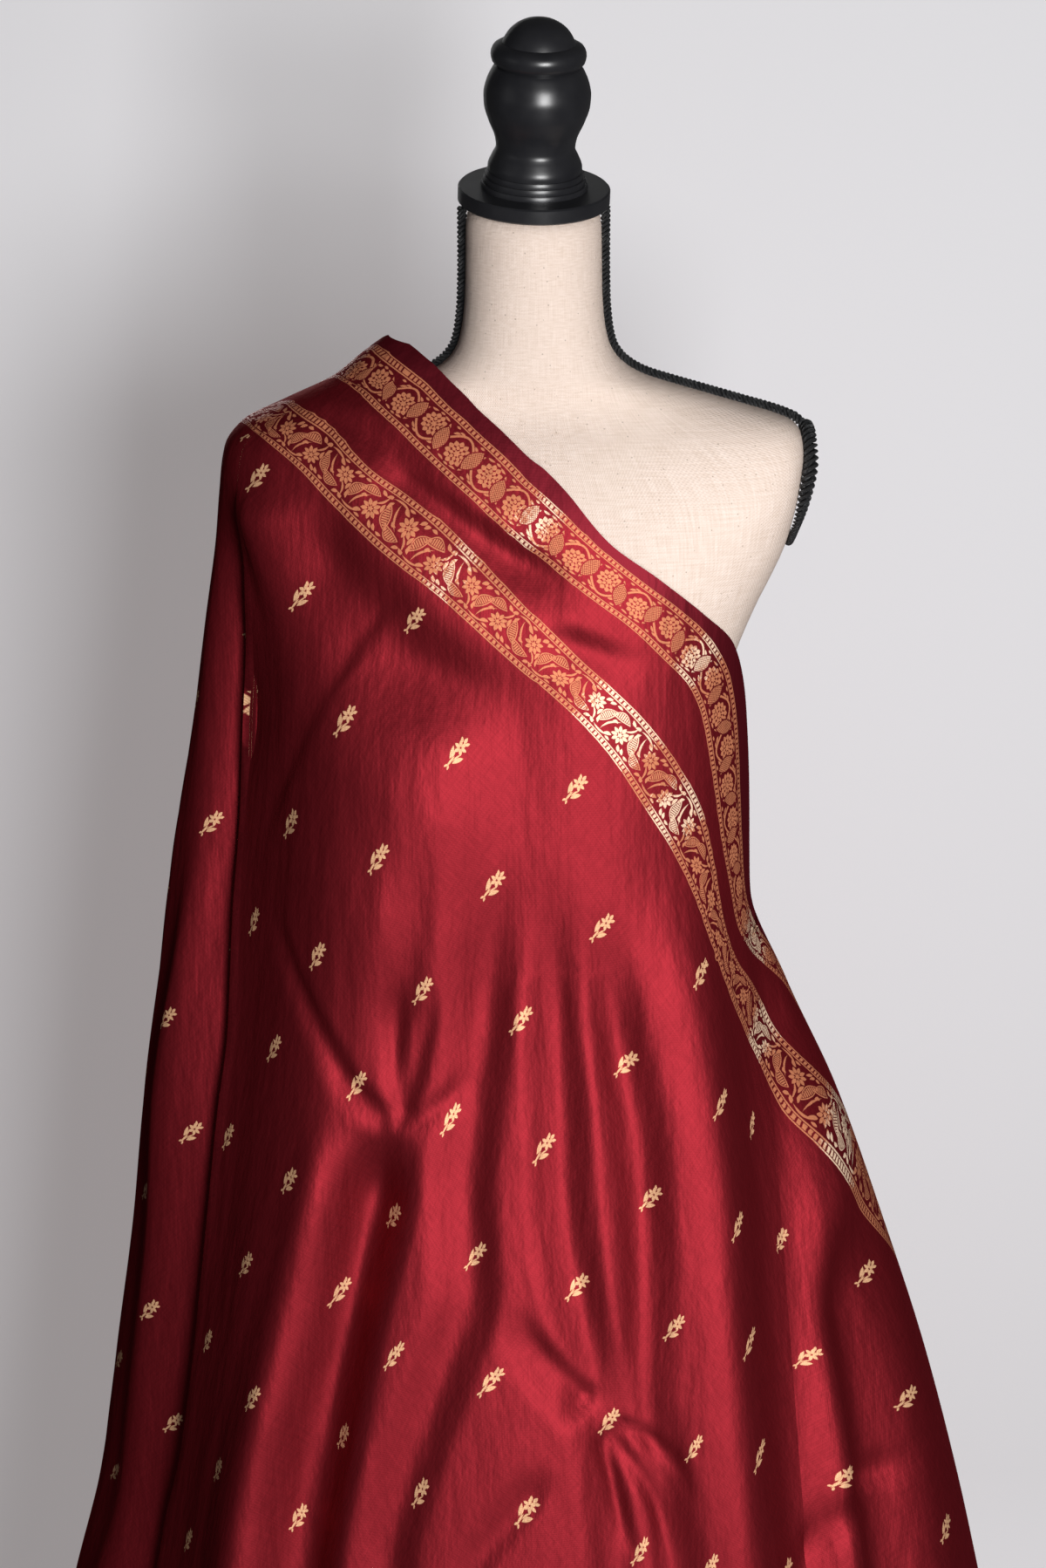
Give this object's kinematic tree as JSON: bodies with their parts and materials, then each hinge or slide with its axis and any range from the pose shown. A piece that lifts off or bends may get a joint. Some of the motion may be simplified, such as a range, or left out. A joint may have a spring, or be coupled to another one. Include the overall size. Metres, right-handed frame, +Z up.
{
  "type": "banarasi saree draped on a limbless dress form",
  "caption": "Silk saree with woven gold borders and sprigs, draped from the left shoulder to the floor over a limbless dress form on a stand.",
  "frame": {"origin": "centre of the base's underside, on the floor, at the middle of the part's box", "axes": "+Z up, -Y towards the front of the saree, +X to the right as the front is faced"},
  "size_m": [0.8356, 0.65, 1.619],
  "materials": {
    "silk": "crisp deep red silk with copper gold brocade",
    "linen": "natural linen weave",
    "black_wood": "black satin paint on turned wood",
    "black_cord": "black braided cord"
  },
  "bodies": {
    "root": {"front_drape": "silk", "shoulder_fall": "silk", "back_drape": "silk", "right_flare": "silk", "form_torso": "linen", "neck_cap": "black_wood", "trim_neck_left": "black_cord", "trim_neck_right": "black_cord", "trim_armhole_left": "black_cord", "trim_armhole_right": "black_cord", "stand_base": "black_wood", "stand_pole": "black_wood"}
  },
  "joints": []
}
